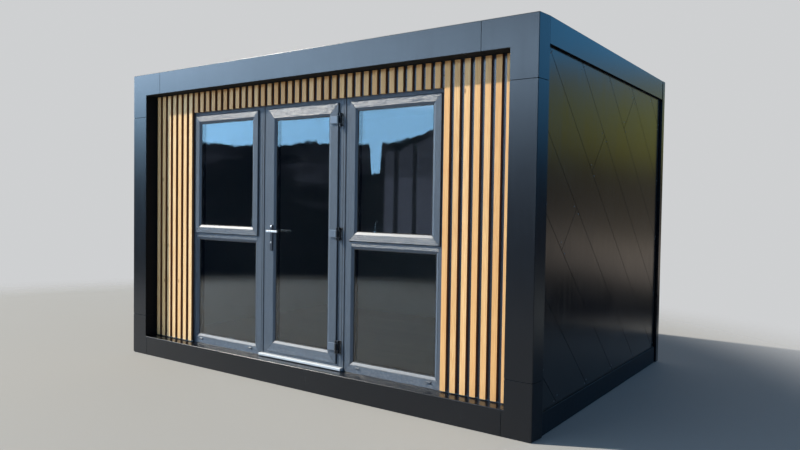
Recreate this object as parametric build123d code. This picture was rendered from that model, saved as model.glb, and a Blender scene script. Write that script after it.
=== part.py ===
# Flat-roofed cabin pod with a projecting portal round a glazed, slatted front.
# Millimetres. Origin at the centre of the footprint on the ground, +X right as seen from the
# front, +Y to the rear, +Z up.
import os
from math import cos, radians, tan
from build123d import *

os.makedirs("parts", exist_ok=True)

# Envelope
front_width = 4000.0
side_splay = 14.0
overall_depth = 2740.0
overall_height = 2550.0

# Portal round the front
post_width = 188.0
top_beam_height = 192.0
sill_height = 168.0
portal_depth = 122.0
cassette_skin = 4.0
cassette_joint = 4.0
bend_radius = 4.0
cassette_ground_gap = 6.0
rear_flange_width = 24.0
top_corner_leg = 386.0
bottom_corner_leg = 358.0
bottom_corner_foot = 204.0

# Floor, walls and roof
floor_board = 22.0
wall_thickness = 120.0
wall_set_in = 30.0
roof_thickness = 100.0
parapet_height = 50.0
bearer_width = 60.0
joist_width = 47.0
joist_count = 9
kerb_width = 45.0
membrane_thickness = 8.0
membrane_fall = 22.0

# Side and rear cladding
fascia_height = 165.0
plinth_height = 148.0
plinth_proud = 18.0
panel_thickness = 8.0
panel_edge_gap = 6.0
panel_joint = 5.0
cladding_start_gap = 2.0
joint_angle = 42.5
joint_rise = 502.0
first_joint_height = 520.0
cross_joints = ((2, 553.0), (4, 1075.0), (6, 1768.0))
trim_leg = 70.0
trim_groove = 25.0

# Slatted lining of the recess
backing_thickness = 9.0
slat_spacing = 75.0
slat_width = 43.0
slat_thickness = 20.0
slat_end_gap = 47.5
slat_chamfer = 1.5
slat_bottom_gap = 8.0
slat_top_gap = 6.0
slat_overhang = 4.0
head_cover = 10.0
side_cover = 18.0

# Glazed set: door between two windows
slatted_side = 503.0
slatted_head = 162.0
unit_depth = 70.0
door_set_width = 826.0
coupler_width = 24.0
coupler_proud = 3.0
frame_margin = 46.0
fitting_gap = 5.0
closing_gap = 5.0
edge_chamfer = 2.5
weld_gap = 0.4

# Opening lights, leaf and glass
light_proud = 12.0
light_depth = 61.0
sash_face = 48.0
leaf_face = 72.0
bead_slope = 18.0
bead_depth = 10.0
glass_inset = 12.0
glass_thickness = 28.0
glass_edge_cover = 11.0
glass_edge_play = 1.0
sash_frame_face = 60.0
sash_play = 8.0
sash_stop_lip = 14.0
transom_above_sill = 957.0
transom_face = 52.0
fixed_face = 61.0
door_frame_face = 70.0
door_play = 12.0
door_stop_lip = 8.0

# Threshold
threshold_overhang = 18.0
threshold_projection = 36.0
threshold_thickness = 21.0
threshold_lift = 4.0
threshold_nose_radius = 5.25

# Hinges
hinge_inset_low = 130.0
hinge_inset_high = 124.0
hinge_axis_out = 11.0
hinge_axis_proud = 13.0
barrel_radius = 9.0
pin_radius = 4.0
pin_play = 0.3
leaf_barrel_height = 53.0
frame_barrel_height = 21.0
barrel_play = 0.5
flag_reach = 63.0
flag_thickness = 6.0
frame_flag_margin = 1.5
arm_gap = 13.0
arm_width = 15.0

# Handle
handle_inset = 55.0
lever_above_sill = 1014.0
plate_width = 28.0
plate_height = 206.0
plate_top_above_lever = 48.0
plate_thickness = 10.0
plate_corner_radius = 7.0
plate_edge_chamfer = 1.5
spindle_radius = 4.0
spindle_play = 0.3
cylinder_drop = 92.0
cylinder_radius = 8.5
cylinder_proud = 3.0
neck_radius = 8.0
neck_gap = 1.0
lever_reach = 118.0
lever_thickness = 12.0
lever_depth = 17.0
lever_edge_chamfer = 3.0
lever_tip_radius = 7.5
outer_lever_standoff = 52.0
inner_lever_standoff = 34.0

# How far a cut runs past the face that it opens
overrun = 1.0

# Planes worked out from the sizes above
front_y = -overall_depth / 2
rear_y = overall_depth / 2
half_front = front_width / 2
half_overall = half_front + side_splay
recess_half = half_front - post_width
recess_top = overall_height - top_beam_height
recess_y = front_y + portal_depth
wall_half = half_overall - wall_set_in
wall_rear_y = rear_y - wall_set_in
frame_y = recess_y + backing_thickness
front_wall_rear_y = frame_y + wall_thickness
unit_half = recess_half - slatted_side
window_start = door_set_width / 2 + coupler_width
unit_top = recess_top - slatted_head
light_y = frame_y - light_proud
stop_y = light_y + light_depth + closing_gap
backing_hole_top = unit_top - head_cover
roof_top = overall_height - parapet_height
roof_underside = roof_top - roof_thickness
cladding_start_y = recess_y + cladding_start_gap
cladding_end_y = rear_y - trim_leg - trim_groove
slope = tan(radians(joint_angle))
slat_row = 2 * (recess_half - slat_end_gap)
slat_count = round(slat_row / slat_spacing) + 1
slat_pitch = slat_row / (slat_count - 1)
slats_beside = 1 + int((slatted_side + side_cover - slat_end_gap - slat_width / 2) / slat_pitch)
leaf_half = door_set_width / 2 - frame_margin
leaf_bottom = sill_height + frame_margin
leaf_top = unit_top - frame_margin
lowest_hinge = leaf_bottom + hinge_inset_low
highest_hinge = leaf_top - hinge_inset_high
hinge_heights = (lowest_hinge, (lowest_hinge + highest_hinge) / 2, highest_hinge)
hinge_x = leaf_half + hinge_axis_out
hinge_y = light_y - hinge_axis_proud
handle_x = -leaf_half + handle_inset
lever_height = sill_height + lever_above_sill


def block(x0, x1, y0, y1, z0, z1):
    """A box between two opposite corners."""
    size = Box(x1 - x0, y1 - y0, z1 - z0)
    return Pos((x0 + x1) / 2, (y0 + y1) / 2, (z0 + z1) / 2) * size


def prism(points, plane, length):
    """A closed outline drawn on a plane and extruded along its normal."""
    with BuildSketch(plane) as outline:
        with BuildLine():
            Polyline(*points, close=True)
        make_face()
    return extrude(outline.sketch, amount=length)


def mirrored(shape):
    """The same shape on the other side of the middle of the front."""
    return mirror(shape, about=Plane.YZ)


def save(name, *shapes):
    """One node, from one solid or from several that do not touch."""
    solids = [solid for shape in shapes for solid in shape.solids()]
    whole = solids[0] if len(solids) == 1 else Compound(children=solids)
    export_step(whole, "parts/" + name + ".step")


# Portal

def portal_cassettes():
    """Folded sheet round the front: face, outer return and reveal, cut at its joints."""
    plan = ((-half_front, front_y), (half_front, front_y),
            (half_overall, recess_y), (-half_overall, recess_y))
    rise = overall_height - cassette_ground_gap
    outer = prism(plan, Plane.XY.offset(cassette_ground_gap), rise)
    bends = outer.edges().filter_by(Axis.Z).group_by(Axis.Y)[0]
    bends += outer.faces().sort_by(Axis.Z)[-1].edges().sort_by(Axis.Y)[:-1]
    outer = fillet(bends, bend_radius)
    inset = offset(Plane.XY * make_face(Polyline(*plan, close=True)), -cassette_skin)
    hollow = extrude(inset, amount=overall_height - cassette_skin)
    hollow += block(-half_overall + rear_flange_width, half_overall - rear_flange_width,
                    recess_y - 2 * cassette_skin, recess_y + overrun,
                    0, overall_height - rear_flange_width)
    opening = block(-recess_half, recess_half, front_y - overrun, recess_y + overrun,
                    sill_height, recess_top)
    lining = block(-recess_half - cassette_skin, recess_half + cassette_skin,
                   front_y, recess_y + overrun, sill_height - cassette_skin, recess_top + cassette_skin)
    skin = outer - (hollow - lining) - opening
    rim = skin.edges().filter_by_position(Axis.Y, front_y - overrun, front_y + overrun)
    rim = rim.filter_by_position(Axis.X, -recess_half - overrun, recess_half + overrun)
    rim = rim.filter_by_position(Axis.Z, sill_height - overrun, recess_top + overrun)
    skin = fillet(rim, bend_radius)
    half_joint = cassette_joint / 2
    for side in (-1, 1):
        top_x = side * (half_front - top_corner_leg)
        foot_x = side * (half_front - bottom_corner_foot)
        skin -= block(top_x - half_joint, top_x + half_joint, front_y - overrun, recess_y + overrun,
                      recess_top - overrun, overall_height + overrun)
        skin -= block(foot_x - half_joint, foot_x + half_joint, front_y - overrun, recess_y + overrun,
                      -overrun, sill_height + overrun)
        for z in (overall_height - top_corner_leg, bottom_corner_leg):
            ends = sorted((side * (recess_half - overrun), side * (half_overall + overrun)))
            skin -= block(*ends, front_y - overrun, recess_y + overrun, z - half_joint, z + half_joint)
    return skin.solids()


def portal_timbers():
    """Posts and beams inside the portal cassettes."""
    out = half_overall - rear_flange_width
    inner = recess_half + cassette_skin
    top = overall_height - rear_flange_width
    y0 = front_y + cassette_skin
    post = block(inner, out, y0, recess_y, 0, top)
    span = inner - weld_gap
    head = block(-span, span, y0, recess_y, recess_top + cassette_skin, top)
    foot = block(-span, span, y0, recess_y, 0, sill_height - cassette_skin)
    return post, mirrored(post), head, foot


# Floor, walls and roof

def base_members():
    """Two end bearers with joists between them, standing on the ground."""
    top = sill_height - floor_board
    members = []
    for y in (recess_y, wall_rear_y - bearer_width):
        members.append(block(-wall_half, wall_half, y, y + bearer_width, 0, top))
    y0 = recess_y + bearer_width + weld_gap
    y1 = wall_rear_y - bearer_width - weld_gap
    pitch = (2 * wall_half - joist_width) / (joist_count - 1)
    for i in range(joist_count):
        x = -wall_half + i * pitch
        members.append(block(x, x + joist_width, y0, y1, 0, top))
    return members


def kerb_members():
    """Upstand round the flat roof that the fascia caps rest on."""
    top = overall_height - cassette_skin
    side = block(wall_half - kerb_width, wall_half, recess_y, wall_rear_y, roof_top, top)
    span = wall_half - kerb_width - weld_gap
    front = block(-span, span, recess_y, recess_y + kerb_width, roof_top, top)
    rear = block(-span, span, wall_rear_y - kerb_width, wall_rear_y, roof_top, top)
    return side, mirrored(side), front, rear


def roof_membrane():
    """Rubber sheet inside the kerb, falling to the rear."""
    half = wall_half - kerb_width
    y0 = recess_y + kerb_width
    y1 = wall_rear_y - kerb_width
    low = roof_top + membrane_thickness
    side = ((y0, roof_top), (y1, roof_top), (y1, low), (y0, low + membrane_fall))
    return prism(side, Plane.YZ.offset(-half), 2 * half)


# Side and rear cladding

def diagonal_panels(start, end, bottom, top):
    """Flat panels on the diagonal, as a sheet in the YZ plane with its open joints cut out."""
    sheet = block(0, panel_thickness, start, end, bottom, top)
    reach = end - start + top - bottom
    height = first_joint_height
    while height - slope * (end - front_y) < top:
        line = Pos(0, 0, height - slope * (start - front_y)) * Rot(-joint_angle, 0, 0)
        cut = Pos(panel_thickness / 2, start, 0) * line
        sheet -= cut * Box(2 * panel_thickness, 2 * reach, panel_joint)
        height += joint_rise
    across = joint_rise * cos(radians(joint_angle)) - panel_joint
    for strip, setback in cross_joints:
        middle = first_joint_height + (strip + 0.5) * joint_rise - slope * setback
        cut = Pos(panel_thickness / 2, front_y + setback, middle) * Rot(90 - joint_angle, 0, 0)
        sheet -= cut * Box(2 * panel_thickness, across + panel_joint, panel_joint)
    return sheet


def side_panels():
    bottom = plinth_height + panel_edge_gap
    top = overall_height - fascia_height - panel_edge_gap
    return Pos(wall_half, 0, 0) * diagonal_panels(cladding_start_y, cladding_end_y, bottom, top)


def rear_panels():
    bottom = plinth_height + panel_edge_gap
    top = overall_height - fascia_height - panel_edge_gap
    half = half_overall - trim_leg - trim_groove
    sheet = diagonal_panels(front_y, front_y + 2 * half, bottom, top)
    return Pos(half + front_y, wall_rear_y, 0) * Rot(0, 0, 90) * sheet


def fascia_section(outer, inner, kerb):
    """Folded fascia: cap over the kerb, face and return under it, as points across the wall."""
    top = overall_height
    low = top - fascia_height
    t = cassette_skin
    return ((kerb, top), (outer, top), (outer, low), (inner, low), (inner, low + t),
            (outer - t, low + t), (outer - t, top - t), (kerb, top - t))


def plinth_section(outer, inner):
    """Folded plinth board with a cap against the wall."""
    low = cassette_ground_gap
    t = cassette_skin
    return ((inner, plinth_height), (outer, plinth_height), (outer, low), (outer - t, low),
            (outer - t, plinth_height - t), (inner, plinth_height - t))


def along_side(section):
    """A section across the right-hand wall, run along it, with its outer edges bent round."""
    plane = Plane(origin=(0, cladding_end_y, 0), x_dir=(1, 0, 0), z_dir=(0, -1, 0))
    board = prism(section, plane, cladding_end_y - cladding_start_y)
    outer_edges = board.edges().filter_by(Axis.Y).group_by(Axis.X)[-1]
    return fillet(outer_edges.sort_by(Axis.Z)[-1:], bend_radius)


def along_rear(section):
    """The same section turned to the rear wall."""
    half = half_overall - trim_leg - trim_groove
    plane = Plane(origin=(-half, 0, 0), x_dir=(0, 1, 0), z_dir=(1, 0, 0))
    board = prism(section, plane, 2 * half)
    outer_edges = board.edges().filter_by(Axis.X).group_by(Axis.Y)[-1]
    return fillet(outer_edges.sort_by(Axis.Z)[-1:], bend_radius)


def rear_corner_trim():
    """Folded corner post that closes the right-hand rear corner."""
    x1 = half_overall
    x0 = half_overall - trim_leg
    y1 = rear_y
    y0 = rear_y - trim_leg
    t = cassette_skin
    outline = ((wall_half, y0), (x1, y0), (x1, y1), (x0, y1), (x0, wall_rear_y),
               (x0 + t, wall_rear_y), (x0 + t, y1 - t), (x1 - t, y1 - t), (x1 - t, y0 + t),
               (wall_half, y0 + t))
    plane = Plane.XY.offset(cassette_ground_gap)
    post = prism(outline, plane, overall_height - cassette_ground_gap)
    cap = block(x0, x1, y0, y1, overall_height - t, overall_height)
    closed = post + cap
    corner = closed.edges().filter_by(Axis.Z).sort_by_distance((x1, y1, overall_height / 2))[:1]
    return fillet(corner, bend_radius)


# Slatted lining

def slat_backing():
    """Dark board behind the slats, overlapping the edges of the glazed set."""
    hole_half = unit_half - side_cover
    board = block(-wall_half, wall_half, recess_y, frame_y, sill_height, roof_underside)
    hole = block(-hole_half, hole_half, recess_y - overrun, frame_y + overrun,
                 sill_height - overrun, backing_hole_top)
    return board - hole


def slat(index, bottom):
    x = -recess_half + slat_end_gap + index * slat_pitch
    y0 = recess_y - slat_thickness
    top = recess_top - slat_top_gap
    piece = block(x - slat_width / 2, x + slat_width / 2, y0, recess_y, bottom, top)
    front_edges = piece.edges().filter_by(Axis.Z).group_by(Axis.Y)[0]
    return chamfer(front_edges, slat_chamfer)


def slats(first, last, bottom):
    return [slat(i, bottom) for i in range(first, last)]


# Windows and door

def mitred_frame(x0, x1, z0, z1, profile, sides=("bottom", "right", "top", "left")):
    """Four welded members. The profile gives points (inward from the edge, y)."""
    reach = max(u for u, y in profile) + overrun
    turns = {
        "bottom": (x1 - x0, Pos(x0, 0, z0)),
        "right": (z1 - z0, Pos(x1, 0, z0) * Rot(0, -90, 0)),
        "top": (x1 - x0, Pos(x1, 0, z1) * Rot(0, 180, 0)),
        "left": (z1 - z0, Pos(x0, 0, z1) * Rot(0, 90, 0)),
    }
    members = []
    for side in sides:
        length, place = turns[side]
        section = [(y, u) for u, y in profile]
        bar = prism(section, Plane.YZ, length)
        outline = ((weld_gap, 0), (length - weld_gap, 0),
                   (length - reach - weld_gap, reach), (reach + weld_gap, reach))
        plane = Plane(origin=(0, rear_y, 0), x_dir=(1, 0, 0), z_dir=(0, -1, 0))
        members.append(place * (bar & prism(outline, plane, overall_depth)))
    return members


def outer_profile(face, lip):
    """Outer frame: face in front, stop lip behind the rebate."""
    back = frame_y + unit_depth
    e = edge_chamfer
    return ((0, frame_y), (face - e, frame_y), (face, frame_y + e), (face, stop_y),
            (face + lip, stop_y), (face + lip, back), (0, back))


def light_profile(face, body, flange):
    """Sash or leaf: overlap flange, body, sloping bead and groove for the glass."""
    y0 = light_y
    back = y0 + light_depth
    sight = face + bead_slope
    groove = sight - glass_edge_cover - glass_edge_play
    glass = y0 + glass_inset
    e = edge_chamfer
    return ((0, y0 + e), (e, y0), (face, y0), (sight, y0 + bead_depth), (sight, glass),
            (groove, glass), (groove, glass + glass_thickness), (sight, glass + glass_thickness),
            (sight, back), (body, back), (body, y0 + flange), (0, y0 + flange))


def pane(x0, x1, z0, z1, edge, y):
    """Sealed glass unit, with its edge set in from the outline by the given amount."""
    return block(x0 + edge, x1 - edge, y, y + glass_thickness, z0 + edge, z1 - edge)


def window():
    """The right-hand window: frame with transom and beads, top-hung sash, two panes."""
    x0 = window_start
    x1 = unit_half
    z0 = sill_height
    z1 = unit_top
    profile = outer_profile(sash_frame_face, sash_stop_lip)
    frame = mitred_frame(x0, x1, z0, z1, profile)
    bar_low = sill_height + transom_above_sill - transom_face / 2
    bar_high = bar_low + transom_face
    side = sash_frame_face + weld_gap
    frame.append(block(x0 + side, x1 - side, frame_y, stop_y - weld_gap, bar_low, bar_high))
    lip = fixed_face - sash_frame_face
    glass_y = frame_y + glass_inset
    glass_back = glass_y + glass_thickness
    bead_sight = lip + bead_slope
    bead = ((0, frame_y), (lip, frame_y), (bead_sight, frame_y + bead_depth),
            (bead_sight, glass_y), (0, glass_y))
    light = (x0 + side, x1 - side, z0 + sash_frame_face, bar_low)
    inner_bead = ((0, glass_back), (bead_sight, glass_back), (bead_sight, stop_y - weld_gap),
                  (0, stop_y - weld_gap))
    frame += mitred_frame(*light, bead)
    frame += mitred_frame(*light, inner_bead)
    low_pane = pane(*light, bead_sight - glass_edge_cover + glass_edge_play, glass_y)

    overlap = sash_frame_face - frame_margin
    sash_box = (x0 + frame_margin, x1 - frame_margin, bar_high - overlap, z1 - frame_margin)
    sash = mitred_frame(*sash_box, light_profile(sash_face, overlap + sash_play, light_proud))
    edge = sash_face + bead_slope - glass_edge_cover
    top_pane = pane(*sash_box, edge, light_y + glass_inset)
    return frame, sash, [low_pane, top_pane]


def couplers():
    """Cover strips that join the door set to the windows."""
    x0 = door_set_width / 2
    strip = block(x0 + weld_gap, x0 + coupler_width - weld_gap, frame_y - coupler_proud,
                  frame_y + unit_depth, sill_height, backing_hole_top)
    return strip, mirrored(strip)


def door_frame():
    half = door_set_width / 2
    profile = outer_profile(door_frame_face, door_stop_lip)
    return mitred_frame(-half, half, sill_height, unit_top, profile)


def along_y(radius, x, z, y0, y1):
    """A round bar along Y."""
    return Pos(x, (y0 + y1) / 2, z) * Rot(90, 0, 0) * Cylinder(radius, y1 - y0)


def door_leaf():
    """Leaf members with the hole for the spindle through the lock stile."""
    body = door_frame_face - frame_margin + door_play
    profile = light_profile(leaf_face, body, light_proud - closing_gap)
    members = mitred_frame(-leaf_half, leaf_half, leaf_bottom, leaf_top, profile)
    hole = along_y(spindle_radius + spindle_play, handle_x, lever_height,
                   light_y - overrun, light_y + light_depth + overrun)
    lock_stile = members.pop()
    return members + [lock_stile - hole]


def door_glass():
    edge = leaf_face + bead_slope - glass_edge_cover
    return pane(-leaf_half, leaf_half, leaf_bottom, leaf_top, edge, light_y + glass_inset)


def door_threshold():
    """Drip nosing across the foot of the door frame."""
    half = door_set_width / 2 + threshold_overhang
    z0 = sill_height + threshold_lift
    z1 = z0 + threshold_thickness
    y0 = frame_y - threshold_projection
    nose = block(-half, half, y0, frame_y, z0, z1)
    y_strip = frame_y - coupler_proud
    notch = block(door_set_width / 2, half + overrun, y_strip, frame_y + overrun,
                  z0 - overrun, z1 + overrun)
    nose = nose - notch - mirrored(notch)
    return fillet(nose.edges().filter_by(Axis.X).group_by(Axis.Y)[0], threshold_nose_radius)


def barrel(radius, z0, z1):
    return Pos(hinge_x, hinge_y, (z0 + z1) / 2) * Cylinder(radius, z1 - z0)


def leaf_hinge(z):
    """Flag on the face of the leaf with the middle barrel."""
    half = leaf_barrel_height / 2
    edge = leaf_half - edge_chamfer
    flag = block(edge - flag_reach, edge, light_y - flag_thickness, light_y, z - half, z + half)
    web = block(edge - barrel_radius, hinge_x, hinge_y, light_y - weld_gap,
                z - half, z + half)
    knuckle = barrel(barrel_radius, z - half, z + half)
    return flag + web + knuckle - barrel(pin_radius + pin_play, z - half - overrun, z + half + overrun)


def frame_hinge(z):
    """Flag on the door frame with the end barrels, their arms and the pin."""
    low = leaf_barrel_height / 2 + barrel_play
    high = low + frame_barrel_height
    x0 = leaf_half + arm_gap
    flag = block(x0 + arm_width / 2, door_set_width / 2 - frame_flag_margin,
                 frame_y - flag_thickness, frame_y, z - high, z + high)
    piece = flag + barrel(pin_radius, z - high, z + high)
    for z0, z1 in ((z - high, z - low), (z + low, z + high)):
        arm = block(x0, x0 + arm_width, hinge_y, frame_y - weld_gap, z0, z1)
        piece += arm + barrel(barrel_radius, z0, z1)
    return piece


def handle_plate(y0, y1, outer_y):
    """Long backplate with the round lock cylinder below the lever."""
    z1 = lever_height + plate_top_above_lever
    z0 = z1 - plate_height
    half = plate_width / 2
    plate = block(handle_x - half, handle_x + half, y0, y1, z0, z1)
    plate = fillet(plate.edges().filter_by(Axis.Y), plate_corner_radius)
    rim = plate.faces().sort_by_distance((handle_x, outer_y, (z0 + z1) / 2))[0].edges()
    plate = chamfer(rim, plate_edge_chamfer)
    span = sorted((outer_y, (y0 + y1) / 2))
    plate += along_y(cylinder_radius, handle_x, lever_height - cylinder_drop, *span)
    return plate - along_y(neck_radius + spindle_play, handle_x, lever_height, y0 - overrun, y1 + overrun)


def handle_plates():
    back = light_y + light_depth
    front = light_y - plate_thickness
    outside = handle_plate(front, light_y, front - cylinder_proud)
    inside = handle_plate(back, back + plate_thickness, back + plate_thickness + cylinder_proud)
    return outside, inside


def lever_bar(y0, y1):
    """Lever with a rounded tip and eased edges, pointing to the hinge side."""
    half = lever_depth / 2
    bar = block(handle_x - neck_radius, handle_x + lever_reach, y0, y1,
                lever_height - half, lever_height + half)
    bar = fillet(bar.edges().filter_by(Axis.Y), lever_tip_radius)
    return chamfer(bar.faces().filter_by(Axis.Y).edges(), lever_edge_chamfer)


def door_lever():
    """Outer and inner lever on one spindle through the lock stile."""
    back = light_y + light_depth
    outer = light_y - outer_lever_standoff
    inner = back + inner_lever_standoff
    middle = lever_thickness / 2
    piece = lever_bar(outer - lever_thickness, outer) + lever_bar(inner, inner + lever_thickness)
    piece += along_y(neck_radius, handle_x, lever_height, outer - middle, light_y - neck_gap)
    piece += along_y(neck_radius, handle_x, lever_height, back + neck_gap, inner + middle)
    return piece + along_y(spindle_radius, handle_x, lever_height, outer, inner)


def split_cassettes():
    """The portal skin sorted into top, sill, posts and corners."""
    groups = {"portal_top": [], "portal_sill": [], "portal_posts": [], "portal_corners": []}
    for solid in portal_cassettes():
        middle = solid.bounding_box().center()
        beside = abs(middle.X) > recess_half / 2
        at_end = middle.Z < bottom_corner_leg or middle.Z > overall_height - top_corner_leg
        if beside and at_end:
            groups["portal_corners"].append(solid)
        elif beside:
            groups["portal_posts"].append(solid)
        elif middle.Z < sill_height:
            groups["portal_sill"].append(solid)
        else:
            groups["portal_top"].append(solid)
    return groups


# Ground and shell
save("base_frame", *base_members())
save("floor_deck", block(-wall_half, wall_half, recess_y, wall_rear_y,
                         sill_height - floor_board, sill_height))
side_wall = block(wall_half - wall_thickness, wall_half, front_wall_rear_y, wall_rear_y,
                  sill_height, roof_underside)
save("wall_right", side_wall)
save("wall_left", mirrored(side_wall))
save("wall_rear", block(-wall_half + wall_thickness, wall_half - wall_thickness,
                        wall_rear_y - wall_thickness, wall_rear_y, sill_height, roof_underside))
front_wall = block(unit_half + fitting_gap, wall_half, frame_y, front_wall_rear_y,
                   sill_height, roof_underside)
save("wall_front_right", front_wall)
save("wall_front_left", mirrored(front_wall))
save("wall_front_head", block(-unit_half - fitting_gap, unit_half + fitting_gap,
                              frame_y, front_wall_rear_y, unit_top + fitting_gap, roof_underside))
save("roof_deck", block(-wall_half, wall_half, recess_y, wall_rear_y, roof_underside, roof_top))
save("parapet_kerb", *kerb_members())
save("roof_membrane", roof_membrane())

# Portal
save("portal_frame", *portal_timbers())
for name, pieces in split_cassettes().items():
    save(name, *pieces)

# Cladding, fascias, plinths and corner trims
panels = side_panels()
save("cladding_right", panels)
save("cladding_left", mirrored(panels))
save("cladding_rear", rear_panels())
side_fascia = along_side(fascia_section(half_overall, wall_half, wall_half - kerb_width))
save("fascia_right", side_fascia)
save("fascia_left", mirrored(side_fascia))
save("fascia_rear", along_rear(fascia_section(rear_y, wall_rear_y, wall_rear_y - kerb_width)))
side_plinth = along_side(plinth_section(wall_half + plinth_proud, wall_half))
save("plinth_right", side_plinth)
save("plinth_left", mirrored(side_plinth))
save("plinth_rear", along_rear(plinth_section(wall_rear_y + plinth_proud, wall_rear_y)))
trim = rear_corner_trim()
save("rear_corner_trims", trim, mirrored(trim))

# Slats
save("slat_backing", slat_backing())
full_bottom = sill_height + slat_bottom_gap
save("slats_left", *slats(0, slats_beside, full_bottom))
save("slats_head", *slats(slats_beside, slat_count - slats_beside,
                          backing_hole_top - slat_overhang))
save("slats_right", *slats(slat_count - slats_beside, slat_count, full_bottom))

# Windows
for part_name, pieces in zip(("frame", "sash", "glass"), window()):
    save("window_right_" + part_name, *pieces)
    save("window_left_" + part_name, *[mirrored(piece) for piece in pieces])

# Door
save("door_couplers", *couplers())
save("door_frame", *door_frame())
save("door_threshold", door_threshold())
save("door_leaf", *door_leaf())
save("door_glass", door_glass())
save("door_hinges_leaf", *[leaf_hinge(z) for z in hinge_heights])
save("door_hinges_frame", *[frame_hinge(z) for z in hinge_heights])
save("door_handle_plates", *handle_plates())
save("door_lever", door_lever())
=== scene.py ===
import math
import bmesh
import bpy
from mathutils import Matrix, Vector


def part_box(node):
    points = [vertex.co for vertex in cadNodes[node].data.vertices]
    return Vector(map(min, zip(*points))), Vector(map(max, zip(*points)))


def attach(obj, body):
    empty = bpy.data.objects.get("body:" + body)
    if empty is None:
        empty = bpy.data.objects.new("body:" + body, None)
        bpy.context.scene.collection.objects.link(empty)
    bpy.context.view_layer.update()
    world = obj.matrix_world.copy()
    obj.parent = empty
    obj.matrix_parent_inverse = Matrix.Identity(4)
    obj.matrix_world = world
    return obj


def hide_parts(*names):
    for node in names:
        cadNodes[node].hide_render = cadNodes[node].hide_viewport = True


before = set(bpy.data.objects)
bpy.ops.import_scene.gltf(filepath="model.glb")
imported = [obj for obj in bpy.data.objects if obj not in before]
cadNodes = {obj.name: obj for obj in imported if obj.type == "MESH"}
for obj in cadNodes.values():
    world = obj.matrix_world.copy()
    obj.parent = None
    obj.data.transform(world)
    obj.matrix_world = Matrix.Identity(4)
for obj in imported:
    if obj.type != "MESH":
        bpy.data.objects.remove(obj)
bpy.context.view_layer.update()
print("frame loaded,", len(cadNodes), "nodes")


# Small helpers for shader trees

def fill(tree, sockets, values):
    for key, value in values.items():
        if isinstance(value, bpy.types.NodeSocket):
            tree.links.new(value, sockets[key])
        else:
            sockets[key].default_value = value


def put(tree, kind, inputs=None, **settings):
    node = tree.nodes.new("ShaderNode" + kind)
    for name, value in settings.items():
        setattr(node, name, value)
    fill(tree, node.inputs, inputs or {})
    return node


def useGroup(tree, group, inputs):
    return put(tree, "Group", inputs, node_tree=group).outputs


def calc(tree, operation, *values):
    return put(tree, "Math", dict(enumerate(values)), operation=operation).outputs[0]


def times(tree, first, *others):
    for other in others:
        first = calc(tree, "MULTIPLY", first, other)
    return first


def plus(tree, first, second):
    return calc(tree, "ADD", first, second)


def minus(tree, first, second):
    return calc(tree, "SUBTRACT", first, second)


def ease(tree, value, start, end, low=0.0, high=1.0):
    inputs = {0: value, 1: start, 2: end, 3: low, 4: high}
    return put(tree, "MapRange", inputs, interpolation_type="SMOOTHSTEP").outputs[0]


def mix(tree, factor, first, second):
    return put(tree, "Mix", {0: factor, 6: first, 7: second}, data_type="RGBA").outputs[2]


def mixNumber(tree, factor, first, second):
    return put(tree, "Mix", {0: factor, 2: first, 3: second}).outputs[0]


def noise(tree, vector, scale, detail=3.0, roughness=0.55, distortion=0.0):
    node = put(tree, "TexNoise", {"Vector": vector, "Scale": scale, "Detail": detail,
                                  "Roughness": roughness, "Distortion": distortion})
    return node.outputs[0]


def parts(tree, vector):
    return put(tree, "SeparateXYZ", {0: vector}).outputs


def join(tree, x, y, z):
    return put(tree, "CombineXYZ", {0: x, 1: y, 2: z}).outputs[0]


def normal(tree):
    return put(tree, "NewGeometry").outputs["Normal"]


def vectors(tree, operation, *values):
    return put(tree, "VectorMath", dict(enumerate(values)), operation=operation).outputs


def stretched(tree, vector, factors):
    return vectors(tree, "MULTIPLY", vector, factors)[0]


def inBox(tree, place, low, high):
    # 1 between two corners, 0 elsewhere
    axes = parts(tree, place)
    return times(tree, *(calc(tree, "GREATER_THAN", axes[i], low[i]) for i in range(3)),
                 *(calc(tree, "LESS_THAN", axes[i], high[i]) for i in range(3)))


def newGroup(name, inputs, **outputs):
    # inputs are given as a number, a colour, or None for a vector
    tree = bpy.data.node_groups.new(name, "ShaderNodeTree")
    for label, value in inputs.items():
        kind = {float: "Float", tuple: "Color"}.get(type(value), "Vector")
        socket = tree.interface.new_socket(name=label, in_out="INPUT", socket_type="NodeSocket" + kind)
        if value is not None:
            socket.default_value = value
    for label, kind in outputs.items():
        tree.interface.new_socket(name=label, in_out="OUTPUT", socket_type="NodeSocket" + kind)
    return tree, tree.nodes.new("NodeGroupInput").outputs, tree.nodes.new("NodeGroupOutput").inputs


def newMaterial(name, specular=0.5, metallic=0.0):
    material = bpy.data.materials.new(name)
    material.use_nodes = True
    tree = material.node_tree
    shader = tree.nodes["Principled BSDF"]
    fill(tree, shader.inputs, {"Specular IOR Level": specular, "Metallic": metallic})
    return material, tree, shader, put(tree, "TexCoord").outputs["Object"]


def color(red, green, blue):
    # picker values 0 to 255 as the linear numbers that the sockets take
    linear = [((c / 255 + 0.055) / 1.055) ** 2.4 if c > 10 else c / 255 / 12.92 for c in (red, green, blue)]
    return (*linear, 1.0)


def darker(value, factor):
    return (*(part * factor for part in value[:3]), 1.0)


# Effects that several finishes share

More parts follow.
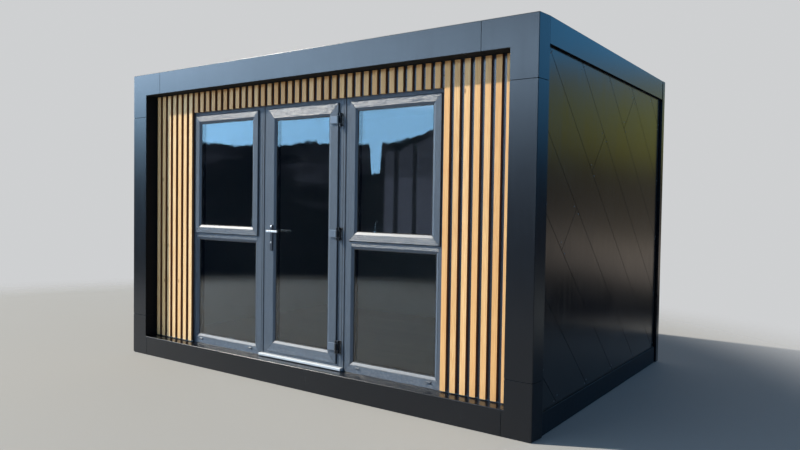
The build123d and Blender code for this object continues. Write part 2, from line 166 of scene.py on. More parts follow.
def timberGrainGroup():
    tree, given, out = newGroup("timberGrain", {
        "Vector": None, "Line Width": 0.004, "Stretch": 40.0, "Light": (1, 1, 1, 1), "Dark": (0, 0, 0, 1),
        "Contrast": 0.5, "Fibre": 0.3}, Color="Color", Tone="Float", Height="Float")
    across = calc(tree, "DIVIDE", 1.0, given["Line Width"])
    along = calc(tree, "DIVIDE", across, given["Stretch"])
    wide = stretched(tree, given["Vector"], join(tree, across, across, along))
    rings = noise(tree, wide, 0.55, 2.0, 0.5, 0.8)
    lines = calc(tree, "PINGPONG", times(tree, rings, 9.0), 1.0)
    fine = noise(tree, wide, 3.2, 3.0, 0.65)
    tone = mixNumber(tree, given["Fibre"], lines, fine)
    level = plus(tree, times(tree, minus(tree, tone, 0.5), given["Contrast"]), 0.5)
    level.node.use_clamp = True
    fill(tree, out, {"Color": mix(tree, level, given["Dark"], given["Light"]), "Tone": level,
                     "Height": mixNumber(tree, 0.6, lines, fine)})
    return tree


def coatedSheetGroup():
    tree, given, out = newGroup("coatedSheet", {
        "Vector": None, "Color": (0, 0, 0, 1), "Roughness": 0.3, "Peel Size": 0.002, "Patchiness": 0.15,
        "Bow": 0.3}, Color="Color", Roughness="Float", Height="Float")
    peel = noise(tree, given["Vector"], calc(tree, "DIVIDE", 1.0, given["Peel Size"]), 1.0)
    patches = noise(tree, given["Vector"], 2.6, 4.0, 0.6)
    streaks = noise(tree, stretched(tree, given["Vector"], (38.0, 38.0, 1.6)), 1.0, 3.0, 0.6)
    change = times(tree, minus(tree, plus(tree, patches, streaks), 1.0), given["Patchiness"])
    lighter = put(tree, "HueSaturation", {"Value": plus(tree, 1.0, change), "Color": given["Color"]})
    bow = times(tree, noise(tree, given["Vector"], 1.7, 1.0), given["Bow"])
    fill(tree, out, {"Color": lighter.outputs[0], "Height": plus(tree, times(tree, peel, 0.02), bow),
                     "Roughness": plus(tree, given["Roughness"], times(tree, change, 0.35))})
    return tree


def dustFilmGroup():
    # settled dust on ledges, and dried splashes that thin out above the ground
    tree, given, out = newGroup("dustFilm", {
        "Vector": None, "Color": (0, 0, 0, 1), "Roughness": 0.3, "Dust": color(150, 140, 126),
        "Ledges": 0.3, "Splashes": 0.2, "Splash Top": 0.5}, Color="Color", Roughness="Float")
    up = ease(tree, parts(tree, normal(tree))[2], 0.6, 0.98)
    height = parts(tree, given["Vector"])[2]
    speckle = ease(tree, noise(tree, given["Vector"], 34.0, 5.0, 0.7), 0.42, 0.72)
    clouds = ease(tree, noise(tree, given["Vector"], 4.5, 4.0, 0.6), 0.3, 0.75)
    ledge = times(tree, up, given["Ledges"], mixNumber(tree, 0.55, clouds, speckle))
    low = minus(tree, 1.0, ease(tree, height, 0.0, given["Splash Top"]))
    film = plus(tree, ledge, times(tree, low, given["Splashes"], speckle))
    film.node.use_clamp = True
    fill(tree, out, {"Color": mix(tree, film, given["Color"], given["Dust"]),
                     "Roughness": mixNumber(tree, film, given["Roughness"], 0.85)})
    return tree


# lighter edges: partly wear, partly a painted highlight where edges would catch the light
def edgeWearAndHighlightGroup():
    tree, given, out = newGroup("edgeWearAndHighlight", {"Vector": None, "Radius": 0.003, "Amount": 0.5}, Mask="Float")
    rounded = put(tree, "Bevel", {"Radius": given["Radius"]}, samples=4).outputs[0]
    agree = vectors(tree, "DOT_PRODUCT", rounded, normal(tree))["Value"]
    edge = ease(tree, agree, 0.995, 0.86)
    broken = ease(tree, noise(tree, given["Vector"], 46.0, 4.0, 0.7), 0.3, 0.62)
    fill(tree, out, {"Mask": times(tree, edge, broken, given["Amount"])})
    return tree


def boardNumberGroup():
    # a steady random number for each board along one direction
    tree, given, out = newGroup("boardNumber", {"Position": 0.0, "Start": 0.0, "Pitch": 0.1, "Seed": 0.0},
                                First="Float", Second="Float", Offset="Vector")
    place = calc(tree, "DIVIDE", minus(tree, given["Position"], given["Start"]), given["Pitch"])
    board = plus(tree, calc(tree, "FLOOR", place), given["Seed"])
    chance = put(tree, "TexWhiteNoise", {"W": board}, noise_dimensions="1D")
    other = put(tree, "TexWhiteNoise", {"W": plus(tree, board, 0.37)}, noise_dimensions="1D")
    fill(tree, out, {"First": chance.outputs["Value"], "Second": other.outputs["Value"],
                     "Offset": stretched(tree, chance.outputs["Color"], (3.0, 3.0, 9.0))})
    return tree


def mitredMembersGroup():
    # turns the grain along each welded member and marks the weld between two members
    tree, given, out = newGroup("mitredMembers", {
        "Vector": None, "Low X": 0.0, "High X": 1.0, "Low Z": 0.0, "High Z": 1.0, "Bar Low": 0.0,
        "Bar High": 0.0, "Bar Inset": 0.06}, Along="Vector", Rail="Float", Weld="Float")
    axes = parts(tree, given["Vector"])
    fromSide, fromEnd = (calc(tree, "MINIMUM", minus(tree, axis, given["Low " + name]),
                              minus(tree, given["High " + name], axis))
                         for axis, name in ((axes[0], "X"), (axes[2], "Z")))
    rail = calc(tree, "LESS_THAN", fromEnd, fromSide)
    inBar = times(tree, calc(tree, "GREATER_THAN", axes[2], given["Bar Low"]),
                  calc(tree, "LESS_THAN", axes[2], given["Bar High"]),
                  calc(tree, "GREATER_THAN", fromSide, given["Bar Inset"]))
    across = calc(tree, "MAXIMUM", rail, inBar)
    turned = join(tree, axes[2], axes[1], axes[0])
    along = put(tree, "Mix", {0: across, 4: given["Vector"], 5: turned}, data_type="VECTOR").outputs[1]
    apart = calc(tree, "ABSOLUTE", minus(tree, fromSide, fromEnd))
    near = calc(tree, "LESS_THAN", calc(tree, "MINIMUM", fromSide, fromEnd), 0.1)
    weld = times(tree, ease(tree, apart, 0.0016, 0.0004), near)
    fill(tree, out, {"Along": along, "Rail": across, "Weld": weld})
    return tree


timberGrain = timberGrainGroup()
coatedSheet = coatedSheetGroup()
dustFilm = dustFilmGroup()
edgeWearAndHighlight = edgeWearAndHighlightGroup()
boardNumber = boardNumberGroup()
mitredMembers = mitredMembersGroup()
print("shared effects ready")


def surface(tree, shader, paint, rough, height, distance):
    bump = put(tree, "Bump", {"Height": height, "Distance": distance}).outputs[0]
    fill(tree, shader.inputs, {"Base Color": paint, "Roughness": rough, "Normal": bump})


def dusty(tree, shader, place, paint, rough, dust, height, distance):
    # a surface under a film of dust and splashes
    film = useGroup(tree, dustFilm, {"Vector": place, "Color": paint, "Roughness": rough, **dust})
    surface(tree, shader, film["Color"], film["Roughness"], height, distance)


def edgesWornAndHighlit(tree, place, paint, look):
    # mixes in the edge colour, which is wear and painted highlight together
    edgeMarks = useGroup(tree, edgeWearAndHighlight, {"Vector": place, "Radius": look["edge"], "Amount": look["wearAndHighlight"]})
    return mix(tree, edgeMarks["Mask"], paint, look["edgeWearAndHighlightColor"])


# Folded sheet: portal, fascias and plinths

def sheetMaterial(name, look):
    material, tree, shader, place = newMaterial(name, look["specular"])
    coat = useGroup(tree, coatedSheet, {"Vector": place, **look["coat"]})
    paint = edgesWornAndHighlit(tree, place, coat["Color"], look)
    rough = coat["Roughness"]
    if "inner" in look:
        # the returns inside the recess get a near-black painted shade and a fully dull coat
        recessShade = inBox(tree, place, *look["innerBox"])
        paint = mix(tree, recessShade, paint, look["inner"])
        rough = mixNumber(tree, recessShade, rough, 1.0)
    dusty(tree, shader, place, paint, rough, look["dust"], coat["Height"], look["bump"])
    return material


sheetCoat = {"Color": color(13, 18, 25), "Roughness": 0.2, "Peel Size": 0.0022, "Patchiness": 0.2, "Bow": 1.0}
portalLook = {
    "coat": {**sheetCoat, "Color": color(11, 14, 19), "Roughness": 0.25},
    "edge": 0.003, "wearAndHighlight": 0.14, "edgeWearAndHighlightColor": color(100, 112, 124), "bump": 0.0006,
    "dust": {"Ledges": 0.01, "Splashes": 0.015, "Splash Top": 0.25},
    # inner: painted shade for the returns inside the recess
    "inner": color(5, 6, 8), "innerBox": ((-1.8135, -1.3685, 0.18), (1.8135, 0.0, 2.3595)),
    "specular": 0.4,
}
fasciaLook = {
    "coat": sheetCoat, "edge": 0.003, "wearAndHighlight": 0.45, "edgeWearAndHighlightColor": color(104, 110, 118), "bump": 0.0005,
    "dust": {"Ledges": 0.09, "Splashes": 0.03, "Splash Top": 0.18},
    "specular": 0.5,
}
plinthLook = {
    **fasciaLook, "coat": {**sheetCoat, "Color": color(8, 12, 20), "Roughness": 0.55}, "wearAndHighlight": 0.2,
    "dust": {**fasciaLook["dust"], "Ledges": 0.1}, "specular": 0.2,
}
backingLook = {
    "coat": {**sheetCoat, "Color": color(40, 46, 57), "Roughness": 0.34, "Patchiness": 0.3, "Bow": 0.6},
    "edge": 0.002, "wearAndHighlight": 0.2, "edgeWearAndHighlightColor": color(84, 90, 100), "bump": 0.0005,
    "dust": {"Ledges": 0.1, "Splashes": 0.04, "Splash Top": 0.35},
    "specular": 0.8,
}
portalSheet = sheetMaterial("portalSheet", portalLook)
backingBoard = sheetMaterial("backingBoard", backingLook)
fasciaSheet = sheetMaterial("fasciaSheet", fasciaLook)
plinthSheet = sheetMaterial("plinthSheet", plinthLook)


# Flat cladding panels, laid on the diagonal

claddingLook = {
    "color": color(13, 15, 19), "lighter": color(17, 18, 22),
    "coat": {"Roughness": 0.17, "Peel Size": 0.003, "Patchiness": 0.3, "Bow": 1.0},
    "slope": math.tan(math.radians(42.5)), "front": -1.37, "first": 0.52, "rise": 0.502,
    "edge": 0.0025, "wearAndHighlight": 0.6, "edgeWearAndHighlightColor": color(96, 98, 98),
    "dust": {"Ledges": 0.3, "Splashes": 0.03, "Splash Top": 0.5},
    "specular": 0.5,
}


def claddingMaterial(name, look, axis):
    material, tree, shader, place = newMaterial(name, look["specular"])
    axes = parts(tree, place)
    run = times(tree, minus(tree, axes[axis], look["front"]), look["slope"])
    board = useGroup(tree, boardNumber, {"Position": plus(tree, axes[2], run), "Start": look["first"],
                                         "Pitch": look["rise"]})
    tone = mix(tree, board["First"], look["color"], look["lighter"])
    coat = useGroup(tree, coatedSheet, {"Vector": place, "Color": tone, **look["coat"]})
    paint = edgesWornAndHighlit(tree, place, coat["Color"], look)
    dusty(tree, shader, place, paint, coat["Roughness"], look["dust"], coat["Height"], 0.0004)
    return material


claddingSide = claddingMaterial("claddingPanelSide", claddingLook, 1)
claddingRear = claddingMaterial("claddingPanelRear", claddingLook, 0)


# Larch slats and other timber

slatLook = {
    "pale": (color(244, 204, 140), color(220, 164, 100), color(250, 222, 170), color(230, 176, 114)),
    "warm": (color(226, 176, 112), color(200, 140, 80), color(244, 208, 150), color(222, 160, 98)),
    "grain": {"Line Width": 0.006, "Stretch": 46.0, "Contrast": 0.95, "Fibre": 0.4},
    "dust": {"Ledges": 0.3, "Splashes": 0.2, "Splash Top": 0.5},
    # side: painted shade for the side faces of the slats
    "side": color(136, 86, 46), "knotColor": color(150, 96, 56),
    "start": -1.7645 - 3.529 / 94, "pitch": 3.529 / 47,
    "specular": 0.35,
}
framingLook = {
    "grain": {"Line Width": 0.007, "Stretch": 38.0, "Contrast": 0.8, "Fibre": 0.4,
              "Light": color(84, 72, 56), "Dark": color(58, 48, 37)},
    "dust": {"Ledges": 0.2, "Splashes": 0.3, "Splash Top": 0.3},
    "specular": 0.35,
}


def slatMaterial(name, look, tone):
    material, tree, shader, place = newMaterial(name, look["specular"])
    lightTone, darkTone, paleTone, redTone = look[tone]
    axes = parts(tree, place)
    board = useGroup(tree, boardNumber, {"Position": axes[0], "Start": look["start"], "Pitch": look["pitch"]})
    shifted = vectors(tree, "ADD", place, board["Offset"])[0]
    light = mix(tree, board["First"], lightTone, paleTone)
    dark = mix(tree, board["Second"], darkTone, redTone)
    grain = useGroup(tree, timberGrain, {"Vector": shifted, "Light": light, "Dark": dark, **look["grain"]})
    cells = put(tree, "TexVoronoi", {"Vector": stretched(tree, shifted, (11.0, 11.0, 3.6)), "Scale": 1.0})
    knot = times(tree, ease(tree, cells.outputs["Distance"], 0.1, 0.03),
                 calc(tree, "GREATER_THAN", board["Second"], 0.6), 0.8)
    timber = mix(tree, knot, grain["Color"], look["knotColor"])
    # the side faces of the slats are painted darker, a painted shade over the grain tone
    facing = parts(tree, normal(tree))[0]
    shadedSides = ease(tree, calc(tree, "ABSOLUTE", facing), 0.75, 0.95)
    paintedSideShade = mix(tree, grain["Tone"], darker(look["side"], 0.75), look["side"])
    timber = mix(tree, shadedSides, timber, paintedSideShade)
    dusty(tree, shader, place, timber, 0.62, look["dust"], grain["Height"], 0.0006)
    return material


def framingMaterial(look):
    # rough sawn bearers, joists and kerbs, with the grain along x
    material, tree, shader, place = newMaterial("framingTimber", look["specular"])
    axes = parts(tree, place)
    grain = useGroup(tree, timberGrain, {"Vector": join(tree, axes[1], axes[2], axes[0]), **look["grain"]})
    dusty(tree, shader, place, grain["Color"], 0.7, look["dust"], grain["Height"], 0.0005)
    return material


larchPale = slatMaterial("larchSlatPale", slatLook, "pale")
larchWarm = slatMaterial("larchSlatWarm", slatLook, "warm")
framingTimber = framingMaterial(framingLook)
print("sheet, cladding and timber finishes ready")


# Inside lining, floor boards and roof sheet

room = ((-1.8645, -1.1195, -1.0), (1.8645, 1.2205, 2.4005))  # corners just past the lined faces


def wallMaterial():
    material, tree, shader, place = newMaterial("wallLining", 0.4)
    inside = inBox(tree, place, *room)
    rolled = noise(tree, place, 260.0, 3.0, 0.7)
    patches = noise(tree, place, 3.0, 4.0, 0.6)
    paint = mix(tree, patches, color(214, 210, 202), color(226, 223, 216))
    wrap = mix(tree, patches, color(32, 34, 36), color(46, 47, 49))
    surface(tree, shader, mix(tree, inside, wrap, paint), mixNumber(tree, rolled, 0.55, 0.8), rolled, 0.0005)
    return material


floorLook = {
    "start": -1.248, "width": 0.192, "sawnEdge": -1.2,
    "light": color(172, 140, 104), "pale": color(190, 160, 122),
    "grain": {"Line Width": 0.008, "Stretch": 30.0, "Contrast": 0.7, "Fibre": 0.4,
              "Dark": color(134, 101, 70)},
}


def floorBoardMaterial(look):
    material, tree, shader, place = newMaterial("floorBoards", 0.5)
    axes = parts(tree, place)
    board = useGroup(tree, boardNumber, {"Position": axes[1], "Start": look["start"], "Pitch": look["width"],
                                         "Seed": 5.0})
    shifted = vectors(tree, "ADD", join(tree, axes[1], axes[2], axes[0]), board["Offset"])[0]
    light = mix(tree, board["First"], look["light"], look["pale"])
    grain = useGroup(tree, timberGrain, {"Vector": shifted, "Light": light, **look["grain"]})
    number = calc(tree, "DIVIDE", minus(tree, axes[1], look["start"]), look["width"])
    seam = calc(tree, "ABSOLUTE", minus(tree, calc(tree, "FRACT", number), 0.5))
    gap = ease(tree, seam, 0.488, 0.497)
    boards = mix(tree, gap, grain["Color"], color(40, 28, 20))
    edge = calc(tree, "LESS_THAN", axes[1], look["sawnEdge"])
    paint = mix(tree, edge, boards, color(20, 21, 23))
    height = minus(tree, grain["Height"], times(tree, gap, 4.0))
    surface(tree, shader, paint, mixNumber(tree, grain["Tone"], 0.38, 0.5), height, 0.0003)
    return material


membraneLook = {"sheet": 1.3, "dust": {"Ledges": 0.2, "Splashes": 0.0, "Splash Top": 0.1}}


def membraneMaterial(look):
    material, tree, shader, place = newMaterial("roofSheet", 0.4)
    axes = parts(tree, place)
    strip = calc(tree, "FRACT", calc(tree, "DIVIDE", axes[0], look["sheet"]))
    seam = ease(tree, calc(tree, "ABSOLUTE", minus(tree, strip, 0.5)), 0.014, 0.004)
    grain = noise(tree, place, 420.0, 2.0)
    marks = ease(tree, noise(tree, place, 0.9, 3.0, 0.5), 0.35, 0.7)
    rubber = mix(tree, marks, color(46, 48, 50), color(58, 59, 59))
    rubber = mix(tree, seam, rubber, color(28, 29, 31))
    height = plus(tree, grain, times(tree, seam, 5.0))
    dusty(tree, shader, place, rubber, 0.62, look["dust"], height, 0.0004)
    return material


def wrapMaterial():
    material, tree, shader, place = newMaterial("blackWrap", 0.3)
    weave = noise(tree, place, 900.0, 2.0, 0.6)
    creases = noise(tree, stretched(tree, place, (5.0, 5.0, 1.5)), 1.0, 4.0, 0.6)
    surface(tree, shader, mix(tree, creases, color(12, 13, 14), color(24, 25, 27)),
            mixNumber(tree, weave, 0.7, 0.9), plus(tree, weave, times(tree, creases, 8.0)), 0.0004)
    return material


blackWrap = wrapMaterial()
wallLining = wallMaterial()
floorBoards = floorBoardMaterial(floorLook)
roofSheet = membraneMaterial(membraneLook)


# Slate-grey wood-grain foil on the window and door profiles

foilLook = {
    "grain": {"Line Width": 0.0024, "Stretch": 30.0, "Contrast": 1.0, "Fibre": 0.6,
              "Light": color(82, 94, 107), "Dark": color(54, 63, 74)},
    "roughness": 0.27, "beadRoughness": 0.4, "stileRoughness": 0.52, "grainRoughness": 0.08,
    "weld": color(16, 19, 24), "edge": 0.002, "wearAndHighlight": 0.12, "edgeWearAndHighlightColor": color(150, 158, 166),
    # the light splashes low down are partly dust and partly a painted sheen on the bottom rails
    "dust": {"Ledges": 0.02, "Splashes": 0.42, "Splash Top": 0.34, "Dust": color(168, 168, 166)},
    "ridges": 2000.0, "ridgeSlope": 0.64, "slopedRidges": 0.15, "drift": (160.0, 160.0, 12.0), "wander": 12.0,
    "specular": 0.6,
}


def foilMaterial(node, look, bar=(0.0, 0.0)):
    material, tree, shader, place = newMaterial("foil_" + node, look["specular"])
    low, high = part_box(node)
    member = useGroup(tree, mitredMembers, {"Vector": place, "Low X": low.x, "High X": high.x, "Low Z": low.z,
                                            "High Z": high.z, "Bar Low": bar[0], "Bar High": bar[1]})
    grain = useGroup(tree, timberGrain, {"Vector": member["Along"], **look["grain"]})
    foil = edgesWornAndHighlit(tree, place, grain["Color"], look)
    foil = mix(tree, times(tree, member["Weld"], 0.8), foil, look["weld"])
    facing = parts(tree, normal(tree))[1]
    flat = ease(tree, calc(tree, "ABSOLUTE", facing), 0.9, 0.98)
    upright = times(tree, flat, minus(tree, 1.0, member["Rail"]))
    rough = mixNumber(tree, flat, look["beadRoughness"], look["roughness"])
    rough = mixNumber(tree, upright, rough, look["stileRoughness"])
    rough = plus(tree, rough, times(tree, grain["Tone"], look["grainRoughness"]))
    # embossed grain: fine ridges along the member that wander a little
    axes = parts(tree, member["Along"])
    across = times(tree, plus(tree, axes[0], axes[1]), look["ridges"])
    drift = noise(tree, stretched(tree, member["Along"], look["drift"]), 1.0, 1.0)
    ridges = calc(tree, "SINE", plus(tree, across, times(tree, drift, look["wander"])))
    ridges = times(tree, ridges, calc(tree, "MAXIMUM", flat, look["slopedRidges"]))
    pressed = minus(tree, ridges, times(tree, member["Weld"], 4.0))
    dusty(tree, shader, place, foil, rough, look["dust"], pressed, look["ridgeSlope"] / look["ridges"])
    return material


# Metals, rubber and glass

def metalMaterial(name, look):
    material, tree, shader, place = newMaterial(name, look["specular"], look["metallic"])
    brushed = noise(tree, stretched(tree, place, look["brush"]), 1.0, 3.0, 0.6)
    smears = noise(tree, place, 28.0, 4.0, 0.6)
    tone = mix(tree, brushed, look["color"], look["lighter"])
    if "darkFrom" in look:
        past = calc(tree, "GREATER_THAN", parts(tree, place)[0], look["darkFrom"])
        tone = mix(tree, past, tone, look["darkColor"])
    tone = edgesWornAndHighlit(tree, place, tone, {"edge": 0.0015, **look})
    rough = plus(tree, look["roughness"], times(tree, smears, look["smear"]))
    surface(tree, shader, tone, rough, brushed, look["bump"])
    return material


chromeLook = {
    "color": color(232, 234, 236), "lighter": color(246, 247, 248), "edgeWearAndHighlightColor": color(250, 250, 250),
    "brush": (90.0, 900.0, 900.0), "roughness": 0.2, "smear": 0.14, "wearAndHighlight": 0.2, "bump": 0.00002,
    "specular": 0.5, "metallic": 0.65,
}
graphiteLook = {
    "color": color(38, 42, 50), "lighter": color(54, 58, 66), "edgeWearAndHighlightColor": color(120, 126, 134),
    "brush": (900.0, 900.0, 60.0), "roughness": 0.22, "smear": 0.16, "wearAndHighlight": 0.5, "bump": 0.00003,
    "specular": 0.6, "metallic": 0.35,
}
capLook = {
    # the light edge colour of the drain caps is partly a painted highlight
    "color": color(58, 65, 74), "lighter": color(72, 80, 90), "edgeWearAndHighlightColor": color(190, 197, 204),
    "brush": (600.0, 600.0, 600.0), "roughness": 0.28, "smear": 0.14, "wearAndHighlight": 0.6, "bump": 0.00005,
    "specular": 0.6, "metallic": 0.0,
}
hingeLook = {
    # the hinge edges carry a strong painted highlight through the bright edge colour
    **capLook, "color": color(78, 89, 102), "lighter": color(92, 104, 118), "roughness": 0.3, "wearAndHighlight": 0.9,
    "edgeWearAndHighlightColor": color(226, 232, 238), "darkFrom": 0.3655, "darkColor": color(12, 14, 18),
}
thresholdLook = {
    "color": color(176, 181, 185), "lighter": color(196, 200, 203), "edgeWearAndHighlightColor": color(238, 241, 243),
    "brush": (30.0, 1100.0, 1100.0), "roughness": 0.42, "smear": 0.16, "wearAndHighlight": 0.5, "bump": 0.00005,
    "specular": 0.5, "metallic": 0.1,
}
fixingLook = {
    "color": color(78, 82, 86), "lighter": color(104, 108, 110), "edgeWearAndHighlightColor": color(160, 162, 164),
    "brush": (700.0, 700.0, 700.0), "roughness": 0.34, "smear": 0.15, "wearAndHighlight": 0.6, "bump": 0.00003,
    "specular": 0.6, "metallic": 0.3,
}
leverMetal = metalMaterial("chromeLever", chromeLook)
plateMetal = metalMaterial("graphitePlate", graphiteLook)
hingeMetal = metalMaterial("hingeEnamel", hingeLook)
thresholdMetal = metalMaterial("thresholdMetal", thresholdLook)
fixingHead = metalMaterial("fixingHead", fixingLook)


def rubberMaterial():
    material, tree, shader, place = newMaterial("sealRubber", 0.35)
    bloom = noise(tree, place, 60.0, 4.0, 0.6)
    surface(tree, shader, mix(tree, bloom, color(14, 15, 17), color(28, 29, 31)),
            mixNumber(tree, bloom, 0.5, 0.72), noise(tree, place, 900.0, 2.0), 0.0001)
    return material


glassLook = {"clear": (0.66, 0.72, 0.76, 1.0), "smeared": (0.62, 0.68, 0.72, 1.0), "smearRoughness": 0.045,
             "shader": {"IOR": 1.5, "Transmission Weight": 1.0}}


def glassMaterial(look):
    material, tree, shader, place = newMaterial("paneGlass")
    fill(tree, shader.inputs, look["shader"])
    smear = ease(tree, noise(tree, place, 7.0, 5.0, 0.65), 0.5, 0.8)
    surface(tree, shader, mix(tree, smear, look["clear"], look["smeared"]),
            mixNumber(tree, smear, 0.0, look["smearRoughness"]), noise(tree, place, 1.2, 1.0), 0.0004)
    return material


sealRubber = rubberMaterial()
paneGlass = glassMaterial(glassLook)
print("foil, metal, rubber and glass finishes ready")


# Finishes on the CAD nodes

def dress(node, material):
    item = cadNodes[node]
    item.data.materials.clear()
    item.data.materials.append(material)


finishes = (
    (portalSheet, ("portal_top", "portal_sill", "portal_posts", "portal_corners")),
    (fasciaSheet, ("fascia_right", "fascia_left", "fascia_rear", "rear_corner_trims")),
    (plinthSheet, ("plinth_right", "plinth_left", "plinth_rear")),
    (claddingSide, ("cladding_right", "cladding_left")), (claddingRear, ("cladding_rear",)),
    (larchPale, ("slats_left",)), (larchWarm, ("slats_head", "slats_right")),
    (backingBoard, ("slat_backing",)), (framingTimber, ("base_frame", "parapet_kerb")),
    (blackWrap, ("portal_frame",)), (floorBoards, ("floor_deck",)), (roofSheet, ("roof_membrane",)),
    (wallLining, ("wall_right", "wall_left", "wall_rear", "wall_front_right", "wall_front_left",
                  "wall_front_head", "roof_deck")),
    (thresholdMetal, ("door_threshold",)), (hingeMetal, ("door_hinges_leaf", "door_hinges_frame")),
    (plateMetal, ("door_handle_plates",)), (leverMetal, ("door_lever",)),
)
for finish, nodeNames in finishes:
    for nodeName in nodeNames:
        dress(nodeName, finish)
transom = (1.099, 1.151)  # foot and top of the bar between the two lights
for nodeName in ("window_right_frame", "window_left_frame"):
    dress(nodeName, foilMaterial(nodeName, foilLook, transom))
for nodeName in ("window_right_sash", "window_left_sash", "door_frame", "door_leaf", "door_couplers"):
    dress(nodeName, foilMaterial(nodeName, foilLook))
print("CAD nodes dressed")


# Pieces built in mesh code

def solidsOf(node):
    # the separate solids of a node, as lists of their corner points
    mesh = cadNodes[node].data
    parent = {}

    def root(key):
        while parent.setdefault(key, key) != key:
            key = parent[key]
        return key

    keys = [tuple(round(c, 5) for c in v.co) for v in mesh.vertices]
    for face in mesh.polygons:
        first = root(keys[face.vertices[0]])
        for index in face.vertices[1:]:
            parent[root(keys[index])] = first
    solids = {}
    for key in set(keys):
        solids.setdefault(root(key), []).append(Vector(key))
    return sorted(solids.values(), key=lambda points: (min(p.x for p in points), min(p.z for p in points)))


def boxOf(points):
    low = Vector(min(p[i] for p in points) for i in range(3))
    high = Vector(max(p[i] for p in points) for i in range(3))
    return low, high


def newPiece(name, build, material, body, smooth=False):
    mesh = bpy.data.meshes.new(name)
    work = bmesh.new()
    build(work)
    bmesh.ops.recalc_face_normals(work, faces=work.faces)
    work.to_mesh(mesh)
    work.free()
    for face in mesh.polygons:
        face.use_smooth = smooth
    piece = bpy.data.objects.new(name, mesh)
    bpy.context.scene.collection.objects.link(piece)
    mesh.materials.append(material)
    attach(piece, body)
    return piece


def addBox(work, low, high, rounding=0.0):
    corners = [work.verts.new((x, y, z)) for z in (low[2], high[2]) for x, y in
               ((low[0], low[1]), (high[0], low[1]), (high[0], high[1]), (low[0], high[1]))]
    faces = [work.faces.new([corners[i] for i in ring]) for ring in
             ((0, 3, 2, 1), (4, 5, 6, 7), (0, 1, 5, 4), (1, 2, 6, 5), (2, 3, 7, 6), (3, 0, 4, 7))]
    if rounding:
        edges = list({edge for face in faces for edge in face.edges})
        bmesh.ops.bevel(work, geom=edges, offset=rounding, segments=2, affect="EDGES", profile=0.7)


def joinRings(work, rings, capped=True):
    # faces from each ring of corners to the next one, and over both ends
    for here, after in zip(rings, rings[1:]):
        for i in range(len(here)):
            j = (i + 1) % len(here)
            work.faces.new((here[i], here[j], after[j], after[i]))
    if capped:
        work.faces.new(rings[0])
        work.faces.new(list(reversed(rings[-1])))


def addRing(work, low, high, profile):
    # a closed profile of (inset, y) points, mitred round the rectangle from low to high in x and z
    rings = []
    for right, top in ((0, 0), (1, 0), (1, 1), (0, 1)):
        ring = []
        for inset, y in profile:
            x = high.x - inset if right else low.x + inset
            z = high.z - inset if top else low.z + inset
            ring.append(work.verts.new((x, y, z)))
        rings.append(ring)
    joinRings(work, rings + rings[:1], capped=False)


def addHead(work, centre, outward, radius, height, sides=14):
    # a low domed screw or rivet head with a small recess in its middle
    outward = Vector(outward).normalized()
    across = outward.orthogonal().normalized()
    other = outward.cross(across)
    steps = ((1.0, 0.0), (1.0, 0.35), (0.82, 0.8), (0.5, 1.0), (0.34, 0.98), (0.26, 0.25))
    rings = []
    for reach, rise in steps:
        rings.append([work.verts.new(Vector(centre) + outward * height * rise
                                     + (across * math.cos(t) + other * math.sin(t)) * radius * reach)
                      for t in (2 * math.pi * i / sides for i in range(sides))])
    joinRings(work, rings)


# Sealed units: two panes, a spacer bar between them and rubber at the beads

unitLook = {"pane": 0.004, "spacerInner": 0.0145, "spacerOuter": 0.006, "sealStart": 0.0095,
            "sealEnd": 0.0158, "sealProud": 0.0018}


def glaze(node, body):
    boxes = [boxOf(points) for points in solidsOf(node)]
    look = unitLook
    short = node.replace("_glass", "")

    def buildPanes(work):
        for low, high in boxes:
            addBox(work, low, (high.x, low.y + look["pane"], high.z))
            addBox(work, (low.x, high.y - look["pane"], low.z), high)

    def buildSpacer(work):
        for low, high in boxes:
            front, back = low.y + look["pane"] + 0.0002, high.y - look["pane"] - 0.0002
            inner, outer = look["spacerInner"], look["spacerOuter"]
            addRing(work, low, high, ((outer, front), (inner - 0.001, front), (inner, front + 0.002),
                                      (inner, back - 0.002), (inner - 0.001, back), (outer, back)))

    def buildSeals(work):
        for low, high in boxes:
            start, end, proud = look["sealStart"], look["sealEnd"], look["sealProud"]
            for y, out in ((low.y, -1), (high.y, 1)):
                addRing(work, low, high, ((start, y + out * 0.0001), (start, y + out * proud),
                                          (end - 0.0016, y + out * proud), (end, y + out * 0.0004),
                                          (end, y + out * 0.0001)))

    panes = newPiece(short + "_panes", buildPanes, paneGlass, body)
    newPiece(short + "_spacer", buildSpacer, spacerMetal, body)
    newPiece(short + "_seals", buildSeals, sealRubber, body)
    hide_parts(node)


spacerLook = {
    "color": color(60, 62, 64), "lighter": color(84, 86, 88), "edgeWearAndHighlightColor": color(120, 122, 124),
    "brush": (500.0, 500.0, 500.0), "roughness": 0.45, "smear": 0.1, "wearAndHighlight": 0.2, "bump": 0.00003,
    "specular": 0.5, "metallic": 0.4,
}
spacerMetal = metalMaterial("spacerBar", spacerLook)
glaze("window_right_glass", "cabin")
glaze("window_left_glass", "cabin")
glaze("door_glass", "door")


# Rubber seals of the leaf, the sashes and the cover strips

def buildDoorSeal(work):
    low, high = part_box("door_leaf")
    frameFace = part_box("door_frame")[0].y
    profile = ((-0.0045, frameFace), (-0.004, frameFace - 0.0022), (0.004, frameFace - 0.0042),
               (0.010, frameFace - 0.0042), (0.013, frameFace - 0.001), (0.013, frameFace))
    addRing(work, low, high, profile)


def buildSashSeals(work):
    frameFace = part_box("window_right_frame")[0].y
    for node in ("window_right_sash", "window_left_sash"):
        low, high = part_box(node)
        addRing(work, low, high, ((-0.0004, frameFace), (-0.0004, frameFace - 0.003),
                                  (-0.003, frameFace - 0.0022), (-0.0045, frameFace)))


